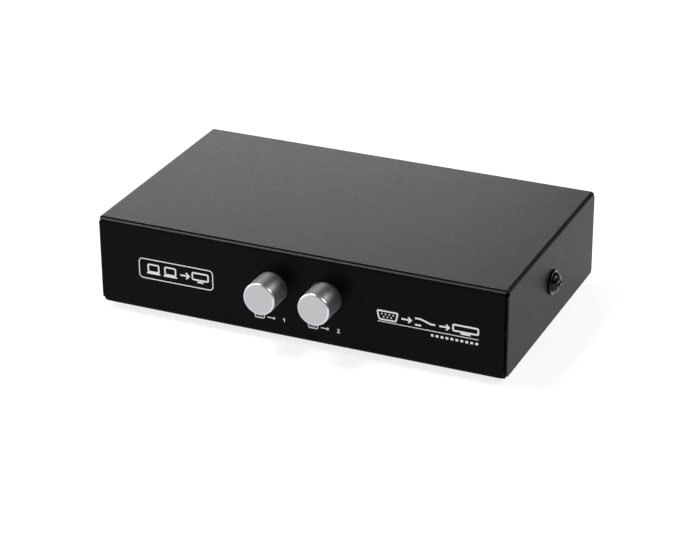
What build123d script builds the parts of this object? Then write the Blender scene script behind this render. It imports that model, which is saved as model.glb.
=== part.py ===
from build123d import *
import os

# A two-port push-button video switch box. Millimetres, +Z up, the front panel faces -Y.
# The origin is the bottom centre of the whole object: under the feet, and midway
# between the button faces and the ends of the jack screws.

# Sheet-metal case
CASE_WIDTH = 130.0
CASE_DEPTH = 76.0
CASE_HEIGHT = 28.0
SHEET = 0.7
COVER_SHEET = 0.5
BEND = 1.1  # outside radius of every bend
SIDE_SEAM = 0.4  # gap between the cover's sides and the base
TOP_SEAM = 0.05  # gap between the cover's top and the base's flanges
TOP_SETBACK = 1.0  # cover's top edges behind the panel faces
SIDE_SETBACK = 0.45  # cover's side edges behind the panel faces
SKIRT_LIFT = 0.7  # cover's side edges above the case's underside
PANEL_FLANGE = 7.0
PANEL_CORNER = 1.8
EDGE_ROUND = 0.22  # paint-softened outer edges of the sheet
FOOT_HEIGHT = 2.0
FOOT_RADIUS = 4.0

# Push buttons
BUTTON_PITCH = 17.2
PAIR_X = 0.4  # middle of the pair, from the case's middle
BUTTON_RISE = 15.2  # button axis above the case's underside
BUTTON_RADIUS = 5.0
BUTTON_OUT = 8.4  # how far a released button stands out of the panel
BUTTON_GAP = 0.5  # all round the cap, in the front panel

# DE-15 video sockets
PORT_PITCH = 38.0
JACK_SPACING = 24.99
JACK_OUT = 5.6  # how far a jack screw stands out of the rear panel
SHELL_REACH = 5.8  # flange face to the mouth of the shell

# Circuit board
STANDOFF_HEIGHT = 5.0
BOARD_THICKNESS = 1.6
BOARD_WIDTH = 118.0
PORT_RISE = 6.3  # socket centre above the board

# Places that follow from the sizes above
FRONT_Y = BUTTON_OUT - (BUTTON_OUT + CASE_DEPTH + JACK_OUT) / 2
REAR_Y = FRONT_Y + CASE_DEPTH
MIDDLE_Y = (FRONT_Y + REAR_Y) / 2
UNDERSIDE_Z = FOOT_HEIGHT
TOP_Z = UNDERSIDE_Z + CASE_HEIGHT
SIDE_X = CASE_WIDTH / 2
BASE_X = SIDE_X - COVER_SHEET - SIDE_SEAM
BASE_TOP_Z = TOP_Z - COVER_SHEET - TOP_SEAM
BOARD_Z = UNDERSIDE_Z + SHEET + STANDOFF_HEIGHT
BOARD_TOP_Z = BOARD_Z + BOARD_THICKNESS
BOARD_FRONT_Y = FRONT_Y + 6.0
BOARD_REAR_Y = REAR_Y - 2.3
AXIS_Z = UNDERSIDE_Z + BUTTON_RISE
PORT_Z = BOARD_TOP_Z + PORT_RISE
FLANGE_Y = REAR_Y - SHEET
BUTTON_XS = (PAIR_X - BUTTON_PITCH / 2, PAIR_X + BUTTON_PITCH / 2)
PORT_XS = (-PORT_PITCH, 0.0, PORT_PITCH)

# Cover screws, one in the middle of each side
COVER_SCREW_Z = UNDERSIDE_Z + 14.4
COVER_SCREW_Y = MIDDLE_Y - 0.5
THREAD_HOLE = 1.45
THREAD_SHANK = 1.43

# Board fixings and the clearance of the jack screws
STANDOFF_PLACES = ((-50.0, -22.0), (50.0, -22.0), (-19.0, 30.0), (19.0, 30.0))
SPIGOT_RADIUS = 1.75
JACK_STUD = 1.40
JACK_THREAD = 1.20
JACK_CLEARANCE = 0.1  # round the studs, in the flange and the moulding

# Switch stack, measured back from the front panel's face
BRACKET_Y = FRONT_Y + 7.0
BRACKET_SHEET = 0.8
BRACKET_DEPTH = 13.0
BRACKET_LEG_Y = BRACKET_Y + 8.0
BRACKET_LEG_WIDTH = 3.0
BRACKET_INSIDE = 15.6  # half the width between its sides
LATCH_Y = FRONT_Y + 8.1
LATCH_SHEET = 0.6
LATCH_TRAVEL = 1.2
LATCH_TONGUE_Z = 16.2
LATCH_TONGUE_HEIGHT = 2.0
LATCH_SPRING_LENGTH = 4.0
HOUSING_Y = FRONT_Y + 12.5
HOUSING_LENGTH = 41.0
HOUSING_WIDTH = 10.4
HOUSING_WALL = 1.1
HOUSING_BOTTOM_Z = BOARD_TOP_Z + 0.3
HOUSING_TOP_Z = 20.6
CARRIAGE_WIDTH = 8.0
CARRIAGE_HEIGHT = 4.2
CARRIAGE_FRONT_Y = FRONT_Y + 13.7
CARRIAGE_REAR_Y = FRONT_Y + 42.0
STEM_WIDTH = 5.0
STEM_FRONT_Y = FRONT_Y + 5.0
TIP_WIDTH = 4.1  # the square end that the cap is pushed onto
SLIDING_GAP = 0.1  # on each side of the stem and the carriage
PRESS_FIT_GAP = 0.02
TERMINAL_PITCH = 2.54
TERMINAL_COUNT = 12
TERMINAL_THICKNESS = 0.4
TERMINAL_WIDTH = 0.8
TERMINAL_Y = FRONT_Y + 15.9
TERMINAL_X = 2.4
TERMINAL_BOARD_TOP_Z = 11.0
TERMINAL_TOP_Z = 14.2
CLIP_COUNT = 4

# DE-15 details
SHELL_HEIGHT = 7.9
SHELL_WIDE_SIDE = 17.1  # between the sharp corners; 16.3 over the rounded ones
SHELL_SIDE_ANGLE = 80
SHELL_CORNER = 2.0
SHELL_WALL = 0.4
FLANGE_THICKNESS = 0.45
WING_DEPTH = 3.0
BLOCK_DEPTH = 5.5
CONTACT_PITCH = 2.29
CONTACT_ROW = 1.98
CONTACT_RADIUS = 0.66
CONTACT_HOLE = 0.68
TAIL_RADIUS = 0.3
TAIL_HOLE = 0.45
# Each row of contacts: height above the socket's centre, sideways shift, tail behind the block
CONTACT_ROWS = ((CONTACT_ROW, 0.0, 4.9), (0.0, -CONTACT_PITCH / 2, 2.9), (-CONTACT_ROW, 0.0, 0.9))
BLOCK_REAR_Y = FLANGE_Y - FLANGE_THICKNESS - WING_DEPTH - BLOCK_DEPTH
WING_REAR_Y = FLANGE_Y - FLANGE_THICKNESS - WING_DEPTH
BRACE_DEPTH = 2.5
BRACE_SHEET = 0.8
PEG_OFFSET = 3.5  # bracket pegs behind the mouldings' wings
PEG_RADIUS = 0.75


def upright(y):
    """The X-Z plane at this depth. Extruding by a negative amount goes rearwards."""
    return Plane.XZ.offset(-y)


def save(builder, name):
    builder.part.label = name
    export_step(builder.part, f"parts/{name}.step")


def d_outline(grow=0.0):
    """The shell's D, wide side up, as large as the outside of the shell when grow is 0."""
    with BuildSketch() as outline:
        Trapezoid(SHELL_WIDE_SIDE, SHELL_HEIGHT, SHELL_SIDE_ANGLE, rotation=180)
        fillet(outline.vertices(), SHELL_CORNER)
        if grow:
            offset(amount=grow, kind=Kind.ARC)
    return outline.sketch


def contact_places():
    """Sideways place, height and tail depth of every contact in one socket."""
    for rise, shift, tail in CONTACT_ROWS:
        for number in range(5):
            yield (number - 2) * CONTACT_PITCH + shift, rise, tail


def terminal_places(x):
    """Plan positions of the terminals of the switch on this axis."""
    rows = (x - TERMINAL_X, x + TERMINAL_X)
    return [(row, TERMINAL_Y + k * TERMINAL_PITCH) for row in rows for k in range(TERMINAL_COUNT)]


# ---------------------------------------------------------------- case


def base_chassis():
    """Bottom, front and rear panels in one bent sheet, with a tapped tab at each side."""
    tab_length = 18.0
    tab_top = COVER_SCREW_Z + 6.0
    relief_width = 1.0
    relief_depth = 2.0
    boss_radius = 2.3
    boss_height = 1.4
    socket_gap = 0.25
    stud_gap = 0.2
    height = BASE_TOP_Z - UNDERSIDE_Z
    with BuildPart() as base:
        with BuildSketch(Plane.YZ):
            with Locations((MIDDLE_Y, UNDERSIDE_Z + height / 2)):
                RectangleRounded(CASE_DEPTH, height, BEND)
                RectangleRounded(CASE_DEPTH - 2 * SHEET, height - 2 * SHEET, BEND - SHEET, mode=Mode.SUBTRACT)
            with Locations((MIDDLE_Y, BASE_TOP_Z)):
                Rectangle(CASE_DEPTH - 2 * PANEL_FLANGE, 3 * SHEET, mode=Mode.SUBTRACT)
        extrude(amount=BASE_X, both=True)

        # Rounded lower corners of the two panels
        for y in (FRONT_Y, REAR_Y - BEND):
            with BuildSketch(upright(y)):
                with Locations((0, UNDERSIDE_Z + PANEL_CORNER)):
                    Rectangle(2 * BASE_X, 2 * PANEL_CORNER)
                with Locations((0, UNDERSIDE_Z + height / 2)):
                    RectangleRounded(2 * BASE_X, height, PANEL_CORNER, mode=Mode.SUBTRACT)
            extrude(amount=-BEND, mode=Mode.SUBTRACT)

        # Side tabs, with a relief notch at each end of the bend
        for side in (-1, 1):
            with BuildSketch(Plane.XY.offset(UNDERSIDE_Z)):
                with Locations((side * (BASE_X - SHEET / 2), COVER_SCREW_Y)):
                    Rectangle(SHEET, tab_length)
            extrude(amount=tab_top - UNDERSIDE_Z)
            with BuildSketch(Plane.XY.offset(UNDERSIDE_Z)):
                with Locations((side * (BASE_X - relief_depth / 2), COVER_SCREW_Y)):
                    with GridLocations(1, tab_length + relief_width, 1, 2):
                        Rectangle(relief_depth, relief_width)
            extrude(amount=SHEET, mode=Mode.SUBTRACT)
        tab_edges = base.edges().filter_by(Axis.Y).filter_by(lambda e: abs(e.length - tab_length) < 0.01)
        fillet(tab_edges.group_by(Axis.Z)[0], BEND)
        for side in (-1, 1):
            with BuildSketch(Plane.YZ.offset(side * (BASE_X - SHEET))):
                with Locations((COVER_SCREW_Y, COVER_SCREW_Z)):
                    Circle(boss_radius)
            extrude(amount=-side * boss_height)
        with BuildSketch(Plane.YZ):
            with Locations((COVER_SCREW_Y, COVER_SCREW_Z)):
                Circle(THREAD_HOLE)
        extrude(amount=BASE_X, both=True, mode=Mode.SUBTRACT)

        # Button holes
        with BuildSketch(upright(FRONT_Y)):
            with Locations(*[(x, AXIS_Z) for x in BUTTON_XS]):
                Circle(BUTTON_RADIUS + BUTTON_GAP)
        extrude(amount=-SHEET, mode=Mode.SUBTRACT)

        # Socket cut-outs and jack-screw holes
        with BuildSketch(upright(REAR_Y)):
            for x in PORT_XS:
                with Locations((x, PORT_Z)):
                    add(d_outline(socket_gap))
                    with GridLocations(JACK_SPACING, 1, 2, 1):
                        Circle(JACK_STUD + stud_gap)
        extrude(amount=SHEET, mode=Mode.SUBTRACT)

        # Holes that take the riveted ends of the board's standoffs
        with BuildSketch(Plane.XY.offset(UNDERSIDE_Z)):
            with Locations(*STANDOFF_PLACES):
                Circle(SPIGOT_RADIUS)
        extrude(amount=SHEET, mode=Mode.SUBTRACT)
    save(base, "base_chassis")


def top_cover():
    """Top and both sides in one bent sheet."""
    skirt_z = UNDERSIDE_Z + SKIRT_LIFT
    skirt_corner = 1.2
    screw_hole = 1.8
    notch_height = 0.6
    notch_depth = 0.9
    notch_z = TOP_Z - BEND - notch_height
    depth = CASE_DEPTH - 2 * SIDE_SETBACK
    strip = TOP_SETBACK - SIDE_SETBACK
    with BuildPart() as cover:
        with BuildSketch(upright(FRONT_Y + SIDE_SETBACK)) as outside:
            with Locations((0, TOP_Z)):
                Rectangle(CASE_WIDTH, TOP_Z - skirt_z, align=(Align.CENTER, Align.MAX))
            fillet(outside.vertices().group_by(Axis.Y)[-1], BEND)
        extrude(amount=-depth)
        with BuildSketch(upright(FRONT_Y + SIDE_SETBACK)) as hollow:
            with Locations((0, TOP_Z - COVER_SHEET)):
                Rectangle(CASE_WIDTH - 2 * COVER_SHEET, TOP_Z - COVER_SHEET - skirt_z,
                          align=(Align.CENTER, Align.MAX))
            fillet(hollow.vertices().group_by(Axis.Y)[-1], BEND - COVER_SHEET)
        extrude(amount=-depth, mode=Mode.SUBTRACT)

        # The top and its bends stop short of the sides' ends, with a small relief below each bend
        for y, inward in ((FRONT_Y + SIDE_SETBACK, 1), (REAR_Y - SIDE_SETBACK, -1)):
            with BuildSketch(upright(y)):
                with Locations((0, TOP_Z - BEND)):
                    Rectangle(CASE_WIDTH, BEND, align=(Align.CENTER, Align.MIN))
            extrude(amount=-inward * strip, mode=Mode.SUBTRACT)
            with BuildSketch(upright(y)):
                with Locations((0, notch_z)):
                    Rectangle(CASE_WIDTH, notch_height, align=(Align.CENTER, Align.MIN))
            extrude(amount=-inward * notch_depth, mode=Mode.SUBTRACT)

        # Rounded lower corners of the sides, then softened edges round the top's ends and the sides
        skirt_ends = cover.edges().filter_by(Axis.X).group_by(Axis.Z)[0]
        fillet(skirt_ends, skirt_corner)
        top_end = CASE_DEPTH / 2 - TOP_SETBACK
        end_edges = cover.edges().filter_by(lambda e: abs(abs(e.center().Y - MIDDLE_Y) - top_end) < 0.01)
        crest = end_edges.filter_by(lambda e: e.center().Z > TOP_Z - 0.01)
        bends = end_edges.filter_by(GeomType.CIRCLE).filter_by(lambda e: e.radius > BEND - 0.01)
        fillet(crest + bends, EDGE_ROUND)
        side_edges = cover.edges().filter_by(lambda e: abs(abs(e.center().X) - SIDE_X) < 0.01)
        fillet(side_edges.filter_by(lambda e: e.center().Z < notch_z - 0.01), EDGE_ROUND)

        with BuildSketch(Plane.YZ):
            with Locations((COVER_SCREW_Y, COVER_SCREW_Z)):
                Circle(screw_hole)
        extrude(amount=SIDE_X, both=True, mode=Mode.SUBTRACT)
    save(cover, "top_cover")


def side_screw(name, side):
    """Washer-head machine screw that holds the cover to the base's tab."""
    shank_length = 6.0
    washer_radius = 3.85
    washer_height = 0.8
    washer_round = 0.3
    dome_radius = 3.05
    shoulder_radius = 2.35  # of the dome, a little below its crown
    shoulder_drop = 0.42
    crown_radius = 1.2
    head_height = 2.4
    recess_span = 3.6
    recess_width = 0.85
    recess_depth = 1.5
    seat = Plane(origin=(side * SIDE_X, COVER_SCREW_Y, COVER_SCREW_Z), x_dir=(side, 0, 0), z_dir=(0, 0, 1))
    crown = Plane(origin=seat.origin + seat.x_dir * head_height, x_dir=(0, 1, 0), z_dir=(side, 0, 0))
    with BuildPart() as screw:
        with BuildSketch(seat) as profile:
            with BuildLine():
                Polyline((head_height, 0), (-shank_length, 0), (-shank_length, THREAD_SHANK),
                         (0, THREAD_SHANK), (0, washer_radius), (washer_height, washer_radius),
                         (washer_height, dome_radius))
                ThreePointArc((washer_height, dome_radius), (head_height - shoulder_drop, shoulder_radius),
                              (head_height, crown_radius))
                Line((head_height, crown_radius), (head_height, 0))
            make_face()
            rim = profile.vertices().sort_by_distance((washer_height, washer_radius))[0]
            fillet(rim, washer_round)
        revolve(axis=Axis(seat.origin, seat.x_dir))
        # Cross recess, narrowing inwards
        with BuildSketch(crown):
            Rectangle(recess_span, recess_width)
            Rectangle(recess_width, recess_span)
        extrude(amount=-recess_depth, taper=12, mode=Mode.SUBTRACT)
    save(screw, name)


def rubber_feet():
    pitch_x = 108.0
    pitch_y = 58.0
    foot_round = 0.5
    with BuildPart() as feet:
        with BuildSketch():
            with Locations((0, MIDDLE_Y)):
                with GridLocations(pitch_x, pitch_y, 2, 2):
                    Circle(FOOT_RADIUS)
        extrude(amount=FOOT_HEIGHT)
        fillet(feet.edges().group_by(Axis.Z)[0], foot_round)
    save(feet, "rubber_feet")


# ---------------------------------------------------------------- circuit board


def main_pcb():
    corner = 1.5
    screw_hole = 1.6
    peg_hole = 0.8
    terminal_hole = 0.5
    with BuildPart() as board:
        with BuildSketch(Plane.XY.offset(BOARD_Z)):
            with Locations((0, (BOARD_FRONT_Y + BOARD_REAR_Y) / 2)):
                RectangleRounded(BOARD_WIDTH, BOARD_REAR_Y - BOARD_FRONT_Y, corner)
            with Locations(*STANDOFF_PLACES):
                Circle(screw_hole, mode=Mode.SUBTRACT)
            tails = [(port + x, BLOCK_REAR_Y - tail) for port in PORT_XS for x, _, tail in contact_places()]
            with Locations(*tails):
                Circle(TAIL_HOLE, mode=Mode.SUBTRACT)
            with Locations(*[(port + side * JACK_SPACING / 2, WING_REAR_Y - PEG_OFFSET)
                             for port in PORT_XS for side in (-1, 1)]):
                Circle(peg_hole, mode=Mode.SUBTRACT)
            for x in BUTTON_XS:
                with Locations(*terminal_places(x)):
                    Circle(terminal_hole, mode=Mode.SUBTRACT)
            leg_x = BRACKET_INSIDE + BRACKET_SHEET / 2
            with Locations((PAIR_X - leg_x, BRACKET_LEG_Y), (PAIR_X + leg_x, BRACKET_LEG_Y)):
                Rectangle(BRACKET_SHEET, BRACKET_LEG_WIDTH, mode=Mode.SUBTRACT)
        extrude(amount=BOARD_THICKNESS)
    save(board, "main_pcb")


def pcb_standoffs():
    hexagon = 2.5  # centre to flat
    thread_depth = 4.5
    with BuildPart() as standoffs:
        with BuildSketch(Plane.XY.offset(UNDERSIDE_Z + SHEET)):
            with Locations(*STANDOFF_PLACES):
                RegularPolygon(hexagon, 6, major_radius=False)
        extrude(amount=STANDOFF_HEIGHT)
        with BuildSketch(Plane.XY.offset(UNDERSIDE_Z)):
            with Locations(*STANDOFF_PLACES):
                Circle(SPIGOT_RADIUS)
        extrude(amount=SHEET)
        with BuildSketch(Plane.XY.offset(BOARD_Z)):
            with Locations(*STANDOFF_PLACES):
                Circle(THREAD_HOLE)
        extrude(amount=-thread_depth, mode=Mode.SUBTRACT)
    save(standoffs, "pcb_standoffs")


def pcb_screws():
    head_radius = 2.75
    head_height = 1.8
    head_round = 0.7
    shank_length = 5.5
    recess_span = 3.0
    recess_width = 0.7
    recess_depth = 1.2
    with BuildPart() as screws:
        with BuildSketch(Plane.XY.offset(BOARD_TOP_Z)):
            with Locations(*STANDOFF_PLACES):
                Circle(head_radius)
        extrude(amount=head_height)
        fillet(screws.edges().group_by(Axis.Z)[-1], head_round)
        with BuildSketch(Plane.XY.offset(BOARD_TOP_Z)):
            with Locations(*STANDOFF_PLACES):
                Circle(THREAD_SHANK)
        extrude(amount=-shank_length)
        with BuildSketch(Plane.XY.offset(BOARD_TOP_Z + head_height)):
            with Locations(*STANDOFF_PLACES):
                Rectangle(recess_span, recess_width)
                Rectangle(recess_width, recess_span)
        extrude(amount=-recess_depth, taper=10, mode=Mode.SUBTRACT)
    save(screws, "pcb_screws")


# ---------------------------------------------------------------- video sockets


def vga_shell(number, port_x):
    """Stamped flange with the D collar that a plug slides over."""
    flange_width = 30.8
    flange_height = 12.5
    flange_corner = 2.5
    lip_round = 0.12
    with BuildPart() as shell:
        with BuildSketch(upright(FLANGE_Y)):
            with Locations((port_x, PORT_Z)):
                RectangleRounded(flange_width, flange_height, flange_corner)
                with GridLocations(JACK_SPACING, 1, 2, 1):
                    Circle(JACK_STUD + JACK_CLEARANCE, mode=Mode.SUBTRACT)
        extrude(amount=FLANGE_THICKNESS)
        with BuildSketch(upright(FLANGE_Y)):
            with Locations((port_x, PORT_Z)):
                add(d_outline())
        extrude(amount=-SHELL_REACH)
        with BuildSketch(upright(FLANGE_Y + SHELL_REACH)):
            with Locations((port_x, PORT_Z)):
                add(d_outline(-SHELL_WALL))
        extrude(amount=SHELL_REACH + FLANGE_THICKNESS, mode=Mode.SUBTRACT)
        fillet(shell.edges().group_by(Axis.Y)[-1], lip_round)
    save(shell, f"vga_shell_{number}")


def contact_holes(port_x, y, depth):
    """Cuts the fifteen contact holes forwards from this depth, inside the part being built."""
    with BuildSketch(upright(y)) as holes:
        with Locations((port_x, PORT_Z)):
            with Locations(*[(x, z) for x, z, _ in contact_places()]):
                Circle(CONTACT_HOLE)
    extrude(holes.sketch, amount=depth, mode=Mode.SUBTRACT)


def vga_front_insulator(number, port_x):
    """D-shaped moulding that fills the shell."""
    sunk = 0.3  # inside the mouth of the shell
    face_round = 0.15
    length = SHELL_REACH + FLANGE_THICKNESS - sunk
    with BuildPart() as face:
        with BuildSketch(upright(FLANGE_Y - FLANGE_THICKNESS)):
            with Locations((port_x, PORT_Z)):
                add(d_outline(-SHELL_WALL - PRESS_FIT_GAP))
        extrude(amount=-length)
        fillet(face.edges().group_by(Axis.Y)[-1], face_round)
        contact_holes(port_x, FLANGE_Y - FLANGE_THICKNESS + length, length)
    save(face, f"vga_front_insulator_{number}")


def vga_rear_insulator(number, port_x):
    """Two wings behind the flange, and the block that stands on the board."""
    wings_width = 30.6
    wings_height = 12.3
    wings_corner = 2.0
    block_width = 18.4
    block_height = 12.0
    with BuildPart() as block:
        with BuildSketch(upright(FLANGE_Y - FLANGE_THICKNESS)):
            with Locations((port_x, PORT_Z)):
                RectangleRounded(wings_width, wings_height, wings_corner)
                with GridLocations(JACK_SPACING, 1, 2, 1):
                    Circle(JACK_STUD + JACK_CLEARANCE, mode=Mode.SUBTRACT)
        extrude(amount=WING_DEPTH)
        with BuildSketch(upright(WING_REAR_Y)):
            with Locations((port_x, BOARD_TOP_Z)):
                Rectangle(block_width, block_height, align=(Align.CENTER, Align.MIN))
        extrude(amount=BLOCK_DEPTH)
        contact_holes(port_x, FLANGE_Y - FLANGE_THICKNESS, WING_DEPTH + BLOCK_DEPTH)
    save(block, f"vga_rear_insulator_{number}")


def vga_contacts(number, port_x):
    """Fifteen sockets with tails bent down through the board."""
    mouth_y = FLANGE_Y + SHELL_REACH - 0.6
    bore = 0.42
    bore_depth = 4.5
    bend = 0.8
    tail_below_board = 1.2
    with BuildPart() as contacts:
        with BuildSketch(upright(mouth_y)):
            with Locations((port_x, PORT_Z)):
                with Locations(*[(x, z) for x, z, _ in contact_places()]):
                    Circle(CONTACT_RADIUS)
        extrude(amount=mouth_y - BLOCK_REAR_Y)
        with BuildSketch(upright(mouth_y)):
            with Locations((port_x, PORT_Z)):
                with Locations(*[(x, z) for x, z, _ in contact_places()]):
                    Circle(bore)
        extrude(amount=bore_depth, mode=Mode.SUBTRACT)
        for x, rise, tail in contact_places():
            start = Vector(port_x + x, BLOCK_REAR_Y, PORT_Z + rise)
            corner = start - Vector(0, tail, 0)
            end = Vector(corner.X, corner.Y, BOARD_Z - tail_below_board)
            with BuildLine() as path:
                FilletPolyline(start, corner, end, radius=bend)
            with BuildSketch(upright(BLOCK_REAR_Y)):
                with Locations((port_x + x, PORT_Z + rise)):
                    Circle(TAIL_RADIUS)
            sweep(path=path.line)
    save(contacts, f"vga_contacts_{number}")


def vga_brackets(number, port_x):
    """Two threaded angle brackets that hold the socket to the board and take the jack screws."""
    plate_y = WING_REAR_Y
    width = 5.2
    height = PORT_RISE + 2.8
    foot_length = 6.0
    boss_radius = 2.2
    peg_below_board = 1.0
    with BuildPart() as brackets:
        for side in (-1, 1):
            x = port_x + side * JACK_SPACING / 2
            with BuildSketch(upright(plate_y)):
                with Locations((x, BOARD_TOP_Z)):
                    Rectangle(width, height, align=(Align.CENTER, Align.MIN))
            extrude(amount=BRACE_SHEET)
            with BuildSketch(upright(plate_y)):
                with Locations((x, PORT_Z)):
                    Circle(boss_radius)
            extrude(amount=BRACE_DEPTH)
            with BuildSketch(Plane.XY.offset(BOARD_TOP_Z)):
                with Locations((x, plate_y)):
                    Rectangle(width, foot_length, align=(Align.CENTER, Align.MAX))
            extrude(amount=BRACE_SHEET)
            with BuildSketch(Plane.XY.offset(BOARD_TOP_Z)):
                with Locations((x, plate_y - PEG_OFFSET)):
                    Circle(PEG_RADIUS)
            extrude(amount=-BOARD_THICKNESS - peg_below_board)
            with BuildSketch(upright(plate_y)):
                with Locations((x, PORT_Z)):
                    Circle(JACK_STUD + PRESS_FIT_GAP)
            extrude(amount=BRACE_DEPTH, mode=Mode.SUBTRACT)
    save(brackets, f"vga_brackets_{number}")


def jack_screws():
    """Hexagonal female screw locks, two for each socket."""
    places = [(x + side * JACK_SPACING / 2, PORT_Z) for x in PORT_XS for side in (-1, 1)]
    stud_length = SHEET + FLANGE_THICKNESS + WING_DEPTH + BRACE_DEPTH
    hexagon = 2.4  # centre to flat
    end_chamfer = 0.3
    thread_depth = 5.0
    with BuildPart() as jacks:
        with BuildSketch(upright(REAR_Y)):
            with Locations(*places):
                RegularPolygon(hexagon, 6, major_radius=False)
        extrude(amount=-JACK_OUT)
        chamfer(jacks.edges().group_by(Axis.Y)[-1], end_chamfer)
        with BuildSketch(upright(REAR_Y)):
            with Locations(*places):
                Circle(JACK_STUD)
        extrude(amount=stud_length)
        with BuildSketch(upright(REAR_Y + JACK_OUT)):
            with Locations(*places):
                Circle(JACK_THREAD)
        extrude(amount=thread_depth, mode=Mode.SUBTRACT)
    save(jacks, "jack_screws")


# ---------------------------------------------------------------- push switches


def switch_housing(number, x):
    """Moulded channel, open underneath, with a window for the stem in its front wall."""
    top_round = 0.5
    channel_height = AXIS_Z + CARRIAGE_HEIGHT / 2 + SLIDING_GAP - HOUSING_BOTTOM_Z
    with BuildPart() as housing:
        with BuildSketch(Plane.XY.offset(HOUSING_BOTTOM_Z)):
            with Locations((x, HOUSING_Y)):
                Rectangle(HOUSING_WIDTH, HOUSING_LENGTH, align=(Align.CENTER, Align.MIN))
        extrude(amount=HOUSING_TOP_Z - HOUSING_BOTTOM_Z)
        fillet(housing.edges().filter_by(Axis.Y).group_by(Axis.Z)[-1], top_round)
        with BuildSketch(Plane.XY.offset(HOUSING_BOTTOM_Z)):
            with Locations((x, HOUSING_Y + HOUSING_WALL)):
                Rectangle(HOUSING_WIDTH - 2 * HOUSING_WALL, HOUSING_LENGTH - 2 * HOUSING_WALL,
                          align=(Align.CENTER, Align.MIN))
        extrude(amount=channel_height, mode=Mode.SUBTRACT)
        with BuildSketch(upright(HOUSING_Y)):
            with Locations((x, AXIS_Z)):
                Rectangle(STEM_WIDTH + 2 * SLIDING_GAP, CARRIAGE_HEIGHT + 2 * SLIDING_GAP)
        extrude(amount=-HOUSING_WALL, mode=Mode.SUBTRACT)
    save(housing, f"switch_housing_{number}")


def terminal_board(number, x):
    """Paper-phenolic strip that closes the housing's underside and holds the terminals."""
    margin = HOUSING_WALL + PRESS_FIT_GAP
    with BuildPart() as strip:
        with BuildSketch(Plane.XY.offset(HOUSING_BOTTOM_Z)):
            with Locations((x, HOUSING_Y + margin)):
                Rectangle(HOUSING_WIDTH - 2 * margin, HOUSING_LENGTH - 2 * margin,
                          align=(Align.CENTER, Align.MIN))
            with Locations(*terminal_places(x)):
                Rectangle(TERMINAL_THICKNESS, TERMINAL_WIDTH, mode=Mode.SUBTRACT)
        extrude(amount=TERMINAL_BOARD_TOP_Z - HOUSING_BOTTOM_Z)
    save(strip, f"terminal_board_{number}")


def switch_terminals(number, x):
    """Flat blades, stepped in below the strip where they pass through the board."""
    tail_width = 0.6
    tail_below_board = 1.5
    with BuildPart() as blades:
        with BuildSketch(Plane.XY.offset(HOUSING_BOTTOM_Z)):
            with Locations(*terminal_places(x)):
                Rectangle(TERMINAL_THICKNESS, TERMINAL_WIDTH)
        extrude(amount=TERMINAL_TOP_Z - HOUSING_BOTTOM_Z)
        with BuildSketch(Plane.XY.offset(HOUSING_BOTTOM_Z)):
            with Locations(*terminal_places(x)):
                Rectangle(TERMINAL_THICKNESS, tail_width)
        extrude(amount=-(HOUSING_BOTTOM_Z - BOARD_Z + tail_below_board))
    save(blades, f"switch_terminals_{number}")


def plunger(number, x):
    """Stem with its latch tooth, widening to the carriage that carries the clips."""
    tip_out = 2.5  # in front of the panel's face
    tip_chamfer = 0.4
    tooth_front_y = FRONT_Y + 6.1
    tooth_reach = 0.9
    tooth_flat = 0.5
    tooth_length = 1.9
    spigot_radius = 1.2
    spigot_length = 2.5
    with BuildPart() as slider:
        with BuildSketch(upright(FRONT_Y - tip_out)):
            with Locations((x, AXIS_Z)):
                Rectangle(TIP_WIDTH, TIP_WIDTH)
        extrude(amount=-(STEM_FRONT_Y - FRONT_Y + tip_out))
        chamfer(slider.edges().group_by(Axis.Y)[0], tip_chamfer)
        with BuildSketch(upright(STEM_FRONT_Y)):
            with Locations((x, AXIS_Z)):
                Rectangle(STEM_WIDTH, CARRIAGE_HEIGHT)
        extrude(amount=-(CARRIAGE_FRONT_Y - STEM_FRONT_Y))
        with BuildSketch(upright(CARRIAGE_FRONT_Y)):
            with Locations((x, AXIS_Z)):
                Rectangle(CARRIAGE_WIDTH, CARRIAGE_HEIGHT)
        extrude(amount=-(CARRIAGE_REAR_Y - CARRIAGE_FRONT_Y))
        with BuildSketch(Plane.XY.offset(AXIS_Z - CARRIAGE_HEIGHT / 2)):
            with BuildLine():
                side = x - STEM_WIDTH / 2
                Polyline((side, tooth_front_y),
                         (side - tooth_reach, tooth_front_y),
                         (side - tooth_reach, tooth_front_y + tooth_flat),
                         (side, tooth_front_y + tooth_length), close=True)
            make_face()
        extrude(amount=CARRIAGE_HEIGHT)
        # Spigot that centres the return spring
        with BuildSketch(upright(CARRIAGE_REAR_Y)):
            with Locations((x, AXIS_Z)):
                Circle(spigot_radius)
        extrude(amount=-spigot_length)
    save(slider, f"plunger_{number}")


def sliding_contacts(number, x):
    """Forked clips under the carriage, each bridging two neighbouring terminals of its pole."""
    clip_width = 1.4
    clip_length = 3.6
    clip_height = 2.1
    leaf_gap = 0.7
    leaf_height = 1.7
    top_z = AXIS_Z - CARRIAGE_HEIGHT / 2
    places = [(x + side * TERMINAL_X, TERMINAL_Y + (3 * pole + 0.5) * TERMINAL_PITCH)
              for side in (-1, 1) for pole in range(CLIP_COUNT)]
    with BuildPart() as clips:
        with BuildSketch(Plane.XY.offset(top_z)):
            with Locations(*places):
                Rectangle(clip_width, clip_length)
        extrude(amount=-clip_height)
        with BuildSketch(Plane.XY.offset(top_z - clip_height)):
            with Locations(*places):
                Rectangle(leaf_gap, clip_length)
        extrude(amount=leaf_height, mode=Mode.SUBTRACT)
    save(clips, f"sliding_contacts_{number}")


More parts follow.
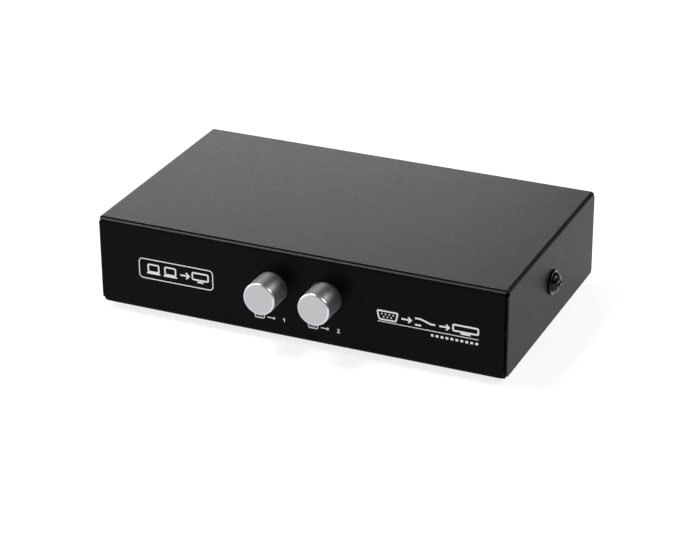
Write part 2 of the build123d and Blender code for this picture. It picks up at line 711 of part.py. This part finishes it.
def return_spring(number, x):
    wire = 0.175
    coil = 1.65
    turns = 8
    start_y = CARRIAGE_REAR_Y + wire
    length = HOUSING_Y + HOUSING_LENGTH - HOUSING_WALL - CARRIAGE_REAR_Y - 2 * wire
    with BuildPart() as spring:
        with BuildLine():
            turn = Helix(pitch=length / turns, height=length, radius=coil,
                         center=(x, start_y, AXIS_Z), direction=(0, 1, 0))
        with BuildSketch(Plane(origin=turn @ 0, z_dir=turn % 0)):
            Circle(wire)
        sweep(path=turn, is_frenet=True)
    save(spring, f"return_spring_{number}")


def button_cap(number, x):
    """Round cap with a flat face and a rounded edge, and a square socket for the stem."""
    face_y = FRONT_Y - BUTTON_OUT
    length = BUTTON_OUT + 2.5
    edge_round = 0.6
    rear_chamfer = 0.2
    socket_gap = 0.1
    socket_depth = 5.2
    with BuildPart() as cap:
        with BuildSketch(upright(face_y)):
            with Locations((x, AXIS_Z)):
                Circle(BUTTON_RADIUS)
        extrude(amount=-length)
        fillet(cap.edges().group_by(Axis.Y)[0], edge_round)
        chamfer(cap.edges().group_by(Axis.Y)[-1], rear_chamfer)
        with BuildSketch(upright(face_y + length)):
            with Locations((x, AXIS_Z)):
                Rectangle(TIP_WIDTH + socket_gap, TIP_WIDTH + socket_gap)
        extrude(amount=socket_depth, mode=Mode.SUBTRACT)
    save(cap, f"button_cap_{number}")


def interlock_bracket():
    """Steel hood over the fronts of both switches, standing on the board by two tabs."""
    outside = BRACKET_INSIDE + BRACKET_SHEET
    top_z = HOUSING_TOP_Z + BRACKET_SHEET
    bend = 1.2
    leg_below_board = 0.8
    window_width = 7.2
    window_height = CARRIAGE_HEIGHT + 0.4
    slot_gap = 0.2
    with BuildPart() as bracket:
        with BuildSketch(Plane.XY.offset(BOARD_TOP_Z)) as plan:
            with Locations((PAIR_X, BRACKET_Y)):
                Rectangle(2 * outside, BRACKET_DEPTH, align=(Align.CENTER, Align.MIN))
            fillet(plan.vertices().group_by(Axis.Y)[0], bend)
            with Locations((PAIR_X, BRACKET_Y + BRACKET_SHEET)):
                Rectangle(2 * BRACKET_INSIDE, BRACKET_DEPTH, align=(Align.CENTER, Align.MIN),
                          mode=Mode.SUBTRACT)
        extrude(amount=top_z - BOARD_TOP_Z)
        with BuildSketch(Plane.XY.offset(HOUSING_TOP_Z)):
            with Locations((PAIR_X, BRACKET_Y + bend)):
                Rectangle(2 * outside, BRACKET_DEPTH - bend, align=(Align.CENTER, Align.MIN))
        extrude(amount=BRACKET_SHEET)
        with BuildSketch(Plane.XY.offset(BOARD_TOP_Z)):
            leg_x = BRACKET_INSIDE + BRACKET_SHEET / 2
            with Locations((PAIR_X - leg_x, BRACKET_LEG_Y), (PAIR_X + leg_x, BRACKET_LEG_Y)):
                Rectangle(BRACKET_SHEET, BRACKET_LEG_WIDTH)
        extrude(amount=-(BOARD_THICKNESS + leg_below_board))
        with BuildSketch(upright(BRACKET_Y)):
            with Locations(*[(x, AXIS_Z) for x in BUTTON_XS]):
                Rectangle(window_width, window_height)
        extrude(amount=-BRACKET_SHEET, mode=Mode.SUBTRACT)
        with BuildSketch(Plane.YZ.offset(PAIR_X)):
            with Locations((LATCH_Y + LATCH_SHEET / 2, LATCH_TONGUE_Z)):
                Rectangle(LATCH_SHEET + slot_gap, LATCH_TONGUE_HEIGHT + slot_gap)
        extrude(amount=outside, both=True, mode=Mode.SUBTRACT)
    save(bracket, "interlock_bracket")


def latch_plate():
    """Slotted plate that slides sideways across both stems, with a headed tongue at one end."""
    left = BRACKET_INSIDE - LATCH_TRAVEL - 0.25
    right = BRACKET_INSIDE - 0.1
    bottom_z = 12.6
    top_z = HOUSING_TOP_Z - 0.2
    left_tongue = 3.5
    head_x = BRACKET_INSIDE + BRACKET_SHEET + LATCH_SPRING_LENGTH
    head_thickness = 0.8
    head_height = 4.6
    tooth_side_gap = 1.05
    plain_side_gap = 1.35
    window_height = CARRIAGE_HEIGHT + 0.4
    with BuildPart() as plate:
        with BuildSketch(upright(LATCH_Y)):
            with Locations((PAIR_X - left, bottom_z)):
                Rectangle(left + right, top_z - bottom_z, align=(Align.MIN, Align.MIN))
            with Locations((PAIR_X - left - left_tongue, LATCH_TONGUE_Z)):
                Rectangle(left + left_tongue + head_x, LATCH_TONGUE_HEIGHT, align=(Align.MIN, Align.CENTER))
            with Locations((PAIR_X + head_x, LATCH_TONGUE_Z)):
                Rectangle(head_thickness, head_height, align=(Align.MIN, Align.CENTER))
            for x in BUTTON_XS:
                with Locations((x - STEM_WIDTH / 2 - tooth_side_gap, AXIS_Z)):
                    Rectangle(tooth_side_gap + STEM_WIDTH + plain_side_gap, window_height,
                              align=(Align.MIN, Align.CENTER), mode=Mode.SUBTRACT)
        extrude(amount=-LATCH_SHEET)
    save(plate, "latch_plate")


def latch_spring():
    wire = 0.15
    coil = 1.5
    turns = 5
    start_x = PAIR_X + BRACKET_INSIDE + BRACKET_SHEET + wire
    length = LATCH_SPRING_LENGTH - 2 * wire
    with BuildPart() as spring:
        with BuildLine():
            turn = Helix(pitch=length / turns, height=length, radius=coil,
                         center=(start_x, LATCH_Y + LATCH_SHEET / 2, LATCH_TONGUE_Z), direction=(1, 0, 0))
        with BuildSketch(Plane(origin=turn @ 0, z_dir=turn % 0)):
            Circle(wire)
        sweep(path=turn, is_frenet=True)
    save(spring, "latch_spring")


os.makedirs("parts", exist_ok=True)

base_chassis()
top_cover()
side_screw("left_side_screw", -1)
side_screw("right_side_screw", 1)
rubber_feet()
main_pcb()
pcb_standoffs()
pcb_screws()
for number, port_x in enumerate(PORT_XS, start=1):
    vga_shell(number, port_x)
    vga_front_insulator(number, port_x)
    vga_rear_insulator(number, port_x)
    vga_contacts(number, port_x)
    vga_brackets(number, port_x)
jack_screws()
for number, button_x in enumerate(BUTTON_XS, start=1):
    switch_housing(number, button_x)
    terminal_board(number, button_x)
    switch_terminals(number, button_x)
    plunger(number, button_x)
    sliding_contacts(number, button_x)
    return_spring(number, button_x)
    button_cap(number, button_x)
interlock_bracket()
latch_plate()
latch_spring()
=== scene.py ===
import math
import bmesh
import bpy
from mathutils import Matrix, Vector


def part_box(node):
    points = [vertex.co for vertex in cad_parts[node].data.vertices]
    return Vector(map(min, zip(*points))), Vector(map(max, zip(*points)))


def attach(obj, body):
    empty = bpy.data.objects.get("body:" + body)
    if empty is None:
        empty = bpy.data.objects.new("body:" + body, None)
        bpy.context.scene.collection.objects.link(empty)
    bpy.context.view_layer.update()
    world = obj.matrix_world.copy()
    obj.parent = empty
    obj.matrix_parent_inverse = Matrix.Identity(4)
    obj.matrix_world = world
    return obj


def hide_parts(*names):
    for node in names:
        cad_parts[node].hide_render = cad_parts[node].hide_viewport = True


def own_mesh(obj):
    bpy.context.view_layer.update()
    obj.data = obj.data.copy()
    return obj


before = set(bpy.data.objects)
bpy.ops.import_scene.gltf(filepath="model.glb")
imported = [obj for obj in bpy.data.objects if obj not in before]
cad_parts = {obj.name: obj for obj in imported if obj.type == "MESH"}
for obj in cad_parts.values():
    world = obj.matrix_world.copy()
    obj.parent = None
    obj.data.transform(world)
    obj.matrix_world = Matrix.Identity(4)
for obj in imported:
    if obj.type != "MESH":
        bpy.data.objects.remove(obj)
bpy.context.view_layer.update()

MM = 0.001

# ---------------------------------------------------------------- view and studio

AZIMUTH = math.radians(23.92)  # camera swung to the right of the front panel's normal
ELEVATION = math.radians(25.81)
ROLL = math.radians(-0.32)
DISTANCE = 0.7126  # m
LENS = 119.9  # mm
SENSOR = 36.0  # mm
AIM = Vector((-0.54, 2.85, 5.29)) * MM

# The softboxes: bearing and rise (degrees), distance and size (m), radiance. The bearing is the
# compass angle from the front panel's outward normal, positive towards the object's right.
SOFTBOXES = {
    "back_left_softbox": (212.5, 17.8, 1.4, (0.9, 0.45), 4.85),
    "high_softbox": (-88.0, 64.0, 1.0, (0.34, 0.30), 26.0),
    "left_softbox": (-90.0, 20.0, 1.1, (0.9, 0.7), 3.4),
    "right_softbox": (114.0, 42.0, 1.0, (0.4, 0.35), 9.5),
    "rim_softbox": (76.0, 47.0, 1.0, (0.7, 0.35), 2.4),
    "front_left_softbox": (-50.0, 32.0, 1.2, (1.3, 1.0), 1.15),
}
ROOM_RADIANCE = 0.12
FLOOR_GLOW = 0.80
FLOOR_REACH = 6.0  # m, from the middle to each side


def direction(bearing, rise):
    """The way out from the object at a bearing and a height angle, both in radians."""
    flat = math.cos(rise)
    return Vector((math.sin(bearing) * flat, -math.cos(bearing) * flat, math.sin(rise)))


def make_camera():
    """A long lens at the photograph's angle, aimed just above the middle of the base."""
    data = bpy.data.cameras.new("camera")
    data.lens = LENS
    data.sensor_width = SENSOR
    data.clip_start = 0.01
    camera = bpy.data.objects.new("camera", data)
    bpy.context.scene.collection.objects.link(camera)
    back = direction(AZIMUTH, ELEVATION)
    look = (-back).to_track_quat("-Z", "Y").to_matrix().to_4x4()
    place = Matrix.Translation(AIM + back * DISTANCE)
    camera.matrix_world = place @ look @ Matrix.Rotation(ROLL, 4, "Z")
    bpy.context.scene.camera = camera


def make_softbox(name, bearing, rise, distance, size, radiance):
    """A rectangular softbox aimed at the object."""
    way = direction(math.radians(bearing), math.radians(rise))
    data = bpy.data.lights.new(name, "AREA")
    data.shape = "RECTANGLE"
    data.size, data.size_y = size
    data.energy = radiance * math.pi * size[0] * size[1]
    light = bpy.data.objects.new(name, data)
    bpy.context.scene.collection.objects.link(light)
    turn = way.to_track_quat("Z", "Y").to_matrix().to_4x4()
    light.matrix_world = Matrix.Translation(way * distance) @ turn


def make_world():
    """A dim room that looks white behind the object."""
    world = bpy.data.worlds.new("studio")
    world.use_nodes = True
    nodes, links = world.node_tree.nodes, world.node_tree.links
    ray = nodes.new("ShaderNodeLightPath")
    strength = nodes.new("ShaderNodeMapRange")
    strength.inputs["To Min"].default_value = ROOM_RADIANCE
    strength.inputs["To Max"].default_value = 1.0
    links.new(ray.outputs["Is Camera Ray"], strength.inputs["Value"])
    background = nodes["Background"]
    background.inputs["Color"].default_value = (1.0, 1.0, 1.0, 1.0)
    links.new(strength.outputs["Result"], background.inputs["Strength"])
    bpy.context.scene.world = world


def make_floor():
    """A plain white light table under the object."""
    reach = FLOOR_REACH
    corners = [(-reach, -reach, 0), (reach, -reach, 0), (reach, reach, 0), (-reach, reach, 0)]
    mesh = bpy.data.meshes.new("floor")
    mesh.from_pydata(corners, [], [(0, 1, 2, 3)])
    floor = bpy.data.objects.new("floor", mesh)
    bpy.context.scene.collection.objects.link(floor)
    paint = Paint("light_table", (0.25, 0.25, 0.25), 0.9,
                  Emission_Color=(1.0, 1.0, 1.0, 1.0), Emission_Strength=FLOOR_GLOW)
    mesh.materials.append(paint.material)


def make_studio():
    scene = bpy.context.scene
    scene.view_settings.view_transform = "Standard"
    scene.view_settings.look = "None"
    make_world()
    for name, softbox in SOFTBOXES.items():
        make_softbox(name, *softbox)
    make_floor()


# ---------------------------------------------------------------- materials

RIM_ROUGHNESS = 0.32
BOARD_GREEN = (0.012, 0.13, 0.05)


class Paint:
    """A Principled material with helpers for the procedural detail wired into it."""

    def __init__(self, name, color, roughness, metallic=0.0, **sockets):
        self.material = bpy.data.materials.new(name)
        self.material.use_nodes = True
        self.nodes = self.material.node_tree.nodes
        self.links = self.material.node_tree.links
        self.shader = self.nodes["Principled BSDF"]
        self.color = (*color, 1.0)
        self.shader.inputs["Base Color"].default_value = self.color
        self.shader.inputs["Roughness"].default_value = roughness
        self.shader.inputs["Metallic"].default_value = metallic
        for socket, value in sockets.items():
            self.shader.inputs[socket.replace("_", " ")].default_value = value
        self.shade = None
        self.normal = None

    def place(self, scale=(1, 1, 1)):
        """Object coordinates in metres, stretched by scale."""
        coordinates = self.nodes.new("ShaderNodeTexCoord")
        mapping = self.nodes.new("ShaderNodeMapping")
        mapping.inputs["Scale"].default_value = scale
        self.links.new(coordinates.outputs["Object"], mapping.inputs["Vector"])
        return mapping.outputs["Vector"]

    def noise(self, size_mm, detail=2.0, stretch=(1, 1, 1)):
        """Soft noise from 0 to 1, mostly between 0.3 and 0.7."""
        texture = self.nodes.new("ShaderNodeTexNoise")
        texture.inputs["Scale"].default_value = 1000.0 / size_mm
        texture.inputs["Detail"].default_value = detail
        self.links.new(self.place(stretch), texture.inputs["Vector"])
        return texture.outputs["Fac"]

    def spread(self, factor, low, high, from_low=0.3, from_high=0.7):
        """Remaps a factor to the range low to high."""
        remap = self.nodes.new("ShaderNodeMapRange")
        remap.inputs["From Min"].default_value = from_low
        remap.inputs["From Max"].default_value = from_high
        remap.inputs["To Min"].default_value = low
        remap.inputs["To Max"].default_value = high
        self.links.new(factor, remap.inputs["Value"])
        return remap.outputs["Result"]

    def vary_color(self, factor, other, low=0.3, high=0.7):
        """Fades to the other colour where the factor goes from low to high."""
        mix = self.nodes.new("ShaderNodeMix")
        mix.data_type = "RGBA"
        mix.inputs["A"].default_value = self.color
        mix.inputs["B"].default_value = (*other, 1.0)
        if self.shade:
            self.links.new(self.shade, mix.inputs["A"])
        self.links.new(self.spread(factor, 0.0, 1.0, low, high), mix.inputs["Factor"])
        self.shade = mix.outputs["Result"]
        self.links.new(self.shade, self.shader.inputs["Base Color"])

    def vary_roughness(self, factor, low, high):
        self.links.new(self.spread(factor, low, high), self.shader.inputs["Roughness"])

    def math(self, operation, *values):
        """A Math node on one or two varying values."""
        node = self.nodes.new("ShaderNodeMath")
        node.operation = operation
        for socket, value in zip(node.inputs, values):
            self.links.new(value, socket)
        return node.outputs["Value"]

    def facing(self):
        """The surface normal's x, y and z."""
        coordinates = self.nodes.new("ShaderNodeTexCoord")
        split = self.nodes.new("ShaderNodeSeparateXYZ")
        self.links.new(coordinates.outputs["Normal"], split.inputs["Vector"])
        return [split.outputs[axis] for axis in "XYZ"]

    def upper_edges(self):
        """1 on front and back edges and bends that face up, 0 on flat faces, sides and below."""
        _, y, z = self.facing()
        along = self.math("ABSOLUTE", y)
        edge = self.spread(self.math("MAXIMUM", along, z), 1.0, 0.0, 0.93, 0.995)
        upper = self.math("MULTIPLY", edge, self.spread(z, 0.0, 1.0, 0.6, 0.85))
        return self.math("MULTIPLY", upper, self.spread(along, 0.0, 1.0, 0.05, 0.2))

    def bump(self, factor, height_mm, strength=1.0):
        """Adds fine relief on top of any relief already there."""
        relief = self.nodes.new("ShaderNodeBump")
        relief.inputs["Distance"].default_value = height_mm * MM
        relief.inputs["Strength"].default_value = strength
        self.links.new(factor, relief.inputs["Height"])
        if self.normal:
            self.links.new(self.normal, relief.inputs["Normal"])
        self.normal = relief.outputs["Normal"]
        self.links.new(self.normal, self.shader.inputs["Normal"])


def powder_coat(name, color, lighter, roughness, specular, worn_and_highlight_color):
    """Satin powder paint with a fine orange peel, lighter along its upper front and back edges:
    worn paint there, and a painted highlight on the bends.
    """
    paint = Paint(name, color, roughness, Specular_IOR_Level=specular)
    paint.vary_color(paint.noise(0.6, 3.0), lighter)
    patches = paint.spread(paint.noise(2.0, 3.0), 0.7, 1.0)
    # The upper bends are lighter: partly worn paint, partly a painted highlight where the bends
    # catch the light.
    worn_and_highlight = paint.math("MULTIPLY", paint.upper_edges(), patches)
    paint.vary_color(worn_and_highlight, worn_and_highlight_color, 0.0, 1.0)
    paint.vary_roughness(paint.noise(0.9, 3.0), roughness - 0.04, roughness + 0.04)
    paint.bump(paint.noise(1.3, 3.0), 0.04, 0.55)
    return paint.material


def plain_metal(name, color, roughness, grain_mm=0.3):
    """Plated metal, unevenly bright."""
    paint = Paint(name, color, roughness, metallic=1.0)
    paint.vary_roughness(paint.noise(grain_mm, 3.0), roughness - 0.03, roughness + 0.04)
    return paint.material


def moulding(name, color, lighter, roughness):
    """Moulded plastic with a faint spark-eroded texture."""
    paint = Paint(name, color, roughness)
    paint.vary_color(paint.noise(4.0, 3.0), lighter)
    paint.bump(paint.noise(0.25, 2.0), 0.015, 0.4)
    return paint.material


def turned_aluminium():
    """Satin anodised aluminium: turned on its side, blasted on its face, burnished on the rim."""
    paint = Paint("satin_aluminium", (0.46, 0.464, 0.472), 0.44, metallic=1.0, Anisotropic=0.45)
    axial = paint.math("ABSOLUTE", paint.facing()[1])
    off_side = paint.spread(axial, 0.0, 1.0, 0.05, 0.25)
    off_face = paint.spread(axial, 1.0, 0.0, 0.96, 0.995)
    rim = paint.math("MULTIPLY", off_side, off_face)
    paint.vary_color(rim, (0.66, 0.665, 0.67), 0.0, 1.0)
    grain = paint.spread(paint.noise(0.3, 3.0), 0.37, 0.45)
    mix = paint.nodes.new("ShaderNodeMix")
    mix.inputs["B"].default_value = RIM_ROUGHNESS
    paint.links.new(rim, mix.inputs["Factor"])
    paint.links.new(grain, mix.inputs["A"])
    paint.links.new(mix.outputs["Result"], paint.shader.inputs["Roughness"])
    paint.bump(paint.noise(0.35, 3.0, (0.02, 1.0, 0.02)), 0.014, 1.0)
    paint.bump(paint.noise(0.30, 2.0), 0.006, 0.5)
    # Highlights stretch along the axis, across the turning marks.
    along = paint.nodes.new("ShaderNodeCombineXYZ")
    along.inputs["X"].default_value = 0.02
    along.inputs["Y"].default_value = 1.0
    paint.links.new(along.outputs["Vector"], paint.shader.inputs["Tangent"])
    return paint.material


def solder_mask():
    """Green board lacquer with copper traces showing through it."""
    paint = Paint("green_board", BOARD_GREEN, 0.32)
    traces = paint.nodes.new("ShaderNodeTexBrick")
    traces.inputs["Scale"].default_value = 1.0
    traces.inputs["Brick Width"].default_value = 18.0 * MM
    traces.inputs["Row Height"].default_value = 1.27 * MM
    traces.inputs["Mortar Size"].default_value = 0.22 * MM
    traces.inputs["Color1"].default_value = (*BOARD_GREEN, 1.0)
    traces.inputs["Color2"].default_value = (0.014, 0.15, 0.055, 1.0)
    traces.inputs["Mortar"].default_value = (0.035, 0.24, 0.08, 1.0)
    paint.links.new(paint.place(), traces.inputs["Vector"])
    paint.links.new(traces.outputs["Color"], paint.shader.inputs["Base Color"])
    paint.bump(traces.outputs["Fac"], 0.02, 0.6)
    return paint.material


def printed_ink():
    """Screen-printed white, a little thin and uneven."""
    paint = Paint("white_ink", (0.82, 0.82, 0.82), 0.55)
    paint.vary_color(paint.noise(0.4, 3.0), (0.70, 0.70, 0.70))
    paint.bump(paint.noise(0.2, 2.0), 0.004, 0.5)
    return paint.material


def make_materials():
    """The finish of every node, by the node's name with its number taken off."""
    # The last colour of each paint is for its lighter upper bends: worn paint and a painted
    # highlight.
    cover = powder_coat("cover_powder_coat", (0.003, 0.0032, 0.0031), (0.0085, 0.009, 0.0087),
                        0.38, 0.09, (0.10, 0.10, 0.10))
    panel = powder_coat("panel_powder_coat", (0.0005, 0.0005, 0.0007), (0.0014, 0.0014, 0.0016),
                        0.34, 0.055, (0.05, 0.05, 0.051))
    steel = plain_metal("zinc_plated_steel", (0.62, 0.62, 0.60), 0.38, 1.5)
    nickel = plain_metal("nickel_plate", (0.70, 0.68, 0.63), 0.34, 1.2)
    tin = plain_metal("tinned_brass", (0.78, 0.77, 0.74), 0.3, 0.2)
    blue = moulding("blue_moulding", (0.015, 0.07, 0.38), (0.02, 0.085, 0.43), 0.42)
    black = moulding("black_moulding", (0.014, 0.014, 0.015), (0.02, 0.02, 0.021), 0.5)
    nylon = moulding("natural_nylon", (0.74, 0.72, 0.66), (0.80, 0.78, 0.72), 0.4)
    phenolic = moulding("phenolic_paper", (0.30, 0.16, 0.07), (0.36, 0.20, 0.09), 0.6)
    rubber = moulding("black_rubber", (0.012, 0.012, 0.012), (0.02, 0.02, 0.02), 0.85)
    spring = plain_metal("spring_steel", (0.5, 0.5, 0.5), 0.28, 0.2)
    black_oxide = plain_metal("black_oxide", (0.02, 0.02, 0.021), 0.16, 0.4)
    return {
        "base_chassis": panel,
        "top_cover": cover,
        "left_side_screw": black_oxide,
        "right_side_screw": black_oxide,
        "rubber_feet": rubber,
        "main_pcb": solder_mask(),
        "pcb_standoffs": plain_metal("brass", (0.75, 0.53, 0.22), 0.3, 0.4),
        "pcb_screws": steel,
        "vga_shell": nickel,
        "vga_front_insulator": blue,
        "vga_rear_insulator": blue,
        "vga_contacts": plain_metal("gold_flash", (0.90, 0.66, 0.26), 0.25, 0.2),
        "vga_brackets": steel,
        "jack_screws": nickel,
        "switch_housing": black,
        "terminal_board": phenolic,
        "switch_terminals": tin,
        "plunger": nylon,
        "sliding_contacts": tin,
        "return_spring": spring,
        "latch_spring": spring,
        "button_cap": turned_aluminium(),
        "interlock_bracket": steel,
        "latch_plate": steel,
    }


def dress_nodes(finishes):
    """Puts its finish on every CAD node, in every slot it has."""
    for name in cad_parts:
        kind = name.rstrip("0123456789").rstrip("_")
        piece = bpy.data.objects[name]
        finish = finishes[kind]
        if piece.material_slots:
            for slot in piece.material_slots:
                slot.material = finish
        else:
            piece.data.materials.append(finish)


# Each spring's joint, its axis (0 is x, 1 is y), its fixed end (0 low, 1 high) and travel in mm.
SPRINGS = {
    "return_spring_1": ("button_1_press", 1, 1, 3.5),
    "return_spring_2": ("button_2_press", 1, 1, 3.5),
    "latch_spring": ("latch_slide", 0, 0, 1.2),
}


def make_springs():
    """Stand-ins for the coil springs: a copy of each on the chassis, with the spring itself hidden.
    """
    for node, (joint, axis, fixed_end, travel) in SPRINGS.items():
        coil = bpy.data.objects.new(f"{node}_coil", bpy.data.objects[node].data.copy())
        bpy.context.scene.collection.objects.link(coil)
        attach(coil, "chassis")
        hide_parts(node)
        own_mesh(coil)


# ---------------------------------------------------------------- printing

INK = 0.03  # mm, how far the ink stands out of the paint
INK_STEP = 0.002  # mm, between strokes that cross
SUNK = 0.01  # mm, how far the ink's back lies inside the paint
FRAME_LINE = 0.31  # mm, the lines' widths
SYMBOL_LINE = 0.50
RULE_LINE = 0.20
LABEL_LINE = 0.24
REAR_LINE = 0.35
NUMERAL_LINE = 0.40


class Print:
    """White ink on one panel, drawn in mm.

    x runs from the panel's middle to its viewer's right, and z up from its foot.
    """

    def __init__(self, name, side):
        low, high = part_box("base_chassis")
        self.face_y = (low[1] if side < 0 else high[1]) / MM
        self.foot_z = low[2] / MM
        self.name = name
        self.side = side
        self.mesh = bmesh.new()
        self.height = INK

    def vertex(self, point, y):
        return self.mesh.verts.new(Vector((-self.side * point[0], y, self.foot_z + point[1])) * MM)

    def ring(self, outline):
        """Back and front vertices for every point of an outline."""
        back, front = self.face_y - self.side * SUNK, self.face_y + self.side * self.height
        return [(self.vertex(point, back), self.vertex(point, front)) for point in outline]

    def stroke(self, points, width, closed=False):
        """A ribbon of ink along these points, with mitred corners."""
        points = [Vector(point) for point in points]
        count = len(points)
        left, right = [], []
        for i, point in enumerate(points):
            following = points[(i + 1) % count]
            before = (point - points[i - 1]).normalized() if i or closed else None
            after = (following - point).normalized() if i < count - 1 or closed else None
            way = ((before or after) + (after or before)).normalized()
            across = Vector((-way.y, way.x))
            reach = width / 2 / max(0.5, way.dot(after or before))
            left.append(point + across * reach)
            right.append(point - across * reach)
        left, right = self.ring(left), self.ring(right)
        for i in range(count if closed else count - 1):
            j = (i + 1) % count
            (lb0, lf0), (lb1, lf1), (rb0, rf0), (rb1, rf1) = left[i], left[j], right[i], right[j]
            for face in ((lf0, lf1, rf1, rf0), (lb0, rb0, rb1, lb1),
                         (lb0, lb1, lf1, lf0), (rb0, rf0, rf1, rb1)):
                self.mesh.faces.new(face)
        if not closed:
            for (lb, lf), (rb, rf) in ((left[0], right[0]), (left[-1], right[-1])):
                self.mesh.faces.new((lb, lf, rf, rb))
        self.height += INK_STEP

    def dot(self, x, z, radius):
        """A round spot of ink."""
        outline = self.ring(arc(x, z, radius, 0, 330, 11))
        count = len(outline)
        for i in range(count):
            (b0, f0), (b1, f1) = outline[i], outline[(i + 1) % count]
            self.mesh.faces.new((b0, b1, f1, f0))
        self.mesh.faces.new([front for _, front in outline])
        self.mesh.faces.new([back for back, _ in reversed(outline)])
        self.height += INK_STEP

    def finish(self, ink):
        """Turns the strokes into a piece on the chassis."""
        bmesh.ops.recalc_face_normals(self.mesh, faces=self.mesh.faces)
        data = bpy.data.meshes.new(self.name)
        self.mesh.to_mesh(data)
        self.mesh.free()
        data.materials.append(ink)
        piece = bpy.data.objects.new(self.name, data)
        bpy.context.scene.collection.objects.link(piece)
        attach(piece, "chassis")


def arc(x, z, radius, start, end, steps):
    """Points on a circle from one angle to another, in degrees."""
    angles = [math.radians(start + (end - start) * i / steps) for i in range(steps + 1)]
    return [(x + radius * math.cos(a), z + radius * math.sin(a)) for a in angles]


def rounded_box(x0, z0, x1, z1, radius):
    corners = ((x1 - radius, z1 - radius, 0), (x0 + radius, z1 - radius, 90),
               (x0 + radius, z0 + radius, 180), (x1 - radius, z0 + radius, 270))
    return [point for x, z, start in corners for point in arc(x, z, radius, start, start + 90, 4)]


def draw_computer(ink, x, z, width, height, line):
    """A portable computer: its screen, and a wider keyboard under it."""
    inset = 0.11 * width
    screen = rounded_box(x + inset, z + 0.24 * height, x + width - inset, z + height, 0.12 * height)
    ink.stroke(screen, line, True)
    ink.stroke([(x, z + line / 2), (x + width, z + line / 2)], line)


def draw_monitor(ink, x, z, width, height, line):
    """A wide monitor on a stand."""
    middle, low, foot = x + width / 2, z + 0.30 * height, z + line / 2
    ink.stroke(rounded_box(x, low, x + width, z + height, 0.12 * height), line, True)
    ink.stroke([(middle, low), (middle, foot)], line)
    ink.stroke([(middle - 0.2 * width, foot), (middle + 0.2 * width, foot)], line)


def draw_arrow(ink, x, z, width, height, line):
    middle, tip = z + height / 2, x + width
    head = 0.32 * height
    ink.stroke([(x, middle), (tip - 0.2 * line, middle)], line)
    ink.stroke([(tip - head, middle + head), (tip, middle), (tip - head, middle - head)], line)


def draw_socket(ink, x, z, width, height, line):
    """A D-shaped socket with two rows of contacts."""
    slope = 0.17 * height
    radius = 0.10 * height
    right, top = x + width, z + height
    outline = [(x + radius, top), (x, top - radius),
               (x + slope, z + radius), (x + slope + radius, z),
               (right - slope - radius, z), (right - slope, z + radius),
               (right, top - radius), (right - radius, top)]
    ink.stroke(outline, line, True)
    for count, level in ((4, 0.66), (3, 0.34)):
        for i in range(count):
            place = i - (count - 1) / 2
            ink.dot(x + width / 2 + place * 0.19 * width, z + level * height, 0.09 * height)


def draw_switch(ink, x, z, width, height, line):
    """A two-way switch: two contacts on the left, and a lever from the one on the right."""
    low, high, middle = z + 0.12 * height, z + 0.88 * height, z + height / 2
    contact, pivot, radius = x + 0.25 * width, x + 0.78 * width, 0.12 * height
    for level in (low, high):
        ink.stroke([(x, level), (contact, level)], line)
        ink.dot(contact, level, radius)
    ink.dot(pivot, middle, radius)
    ink.stroke([(pivot, middle), (x + width, middle)], line)
    ink.stroke([(pivot, middle), (x + 0.30 * width, high - 0.02 * height)], line)


def draw_numeral(ink, number, x, z, height, line):
    """A 1 or a 2."""
    low, high = z + line / 2, z + height - line / 2
    if number == 1:
        stem = x + 0.3 * height
        ink.stroke([(x, high - 0.25 * height), (stem, high), (stem, low)], line)
    else:
        width = 0.62 * height
        bowl = (width - line) / 2
        left = x + line / 2
        top = arc(left + bowl, high - bowl, bowl, 170, -35, 8)
        ink.stroke([*top, (left, low), (left + width, low)], line)


def draw_row(ink, x, z, height, line, gap, symbols):
    """Symbols side by side, each a function and its width."""
    for draw, width in symbols:
        draw(ink, x, z, width, height, line)
        x += width + gap


def print_front(ink_material):
    """A framed row on the left, a ruled row on the right, and a small label under each button."""
    ink = Print("front_print", -1)
    ink.stroke(rounded_box(-51.6, 10.6, -27.2, 16.9, 1.2), FRAME_LINE, True)
    draw_row(ink, -49.1, 12.2, 3.1, SYMBOL_LINE, 1.1,
             ((draw_computer, 4.5), (draw_computer, 4.5), (draw_arrow, 2.9), (draw_monitor, 5.2)))
    draw_row(ink, 25.5, 12.05, 2.7, SYMBOL_LINE, 1.2,
             ((draw_socket, 6.2), (draw_arrow, 3.0), (draw_switch, 6.2), (draw_arrow, 3.0),
              (draw_monitor, 7.6)))
    ink.stroke([(25.6, 11.35), (56.4, 11.35)], RULE_LINE)
    dash, pitch, thickness = 0.8, 1.5, 0.7
    for i in range(10):
        start = 42.0 + pitch * i
        ink.stroke([(start, 10.0), (start + dash, 10.0)], thickness)
    foot, height = 4.85, 1.3
    for number in (1, 2):
        low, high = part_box(f"button_cap_{number}")
        axis_x = (low[0] + high[0]) / 2 / MM
        draw_row(ink, axis_x - 5.4, foot, height, LABEL_LINE, 0.9,
                 ((draw_socket, 3.2), (draw_arrow, 2.4)))
        draw_numeral(ink, number, axis_x + 3.8, foot, height, LABEL_LINE)
    ink.finish(ink_material)


def print_rear(ink_material):
    """Numbers over the two input sockets and a monitor over the output."""
    ink = Print("rear_print", 1)
    foot, height = 20.9, 2.4
    shells = [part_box(f"vga_shell_{i}") for i in (3, 2, 1)]
    input_1, input_2, output = [-(low[0] + high[0]) / 2 / MM for low, high in shells]
    for number, x in ((1, input_1), (2, input_2)):
        draw_computer(ink, x - 3.4, foot, 4.0, height, REAR_LINE)
        draw_numeral(ink, number, x + 2.0, foot, height, NUMERAL_LINE)
    draw_monitor(ink, output - 2.2, foot, 4.4, height, REAR_LINE)
    ink.finish(ink_material)


make_camera()
make_studio()
dress_nodes(make_materials())
make_springs()
white_ink = printed_ink()
print_front(white_ink)
print_rear(white_ink)
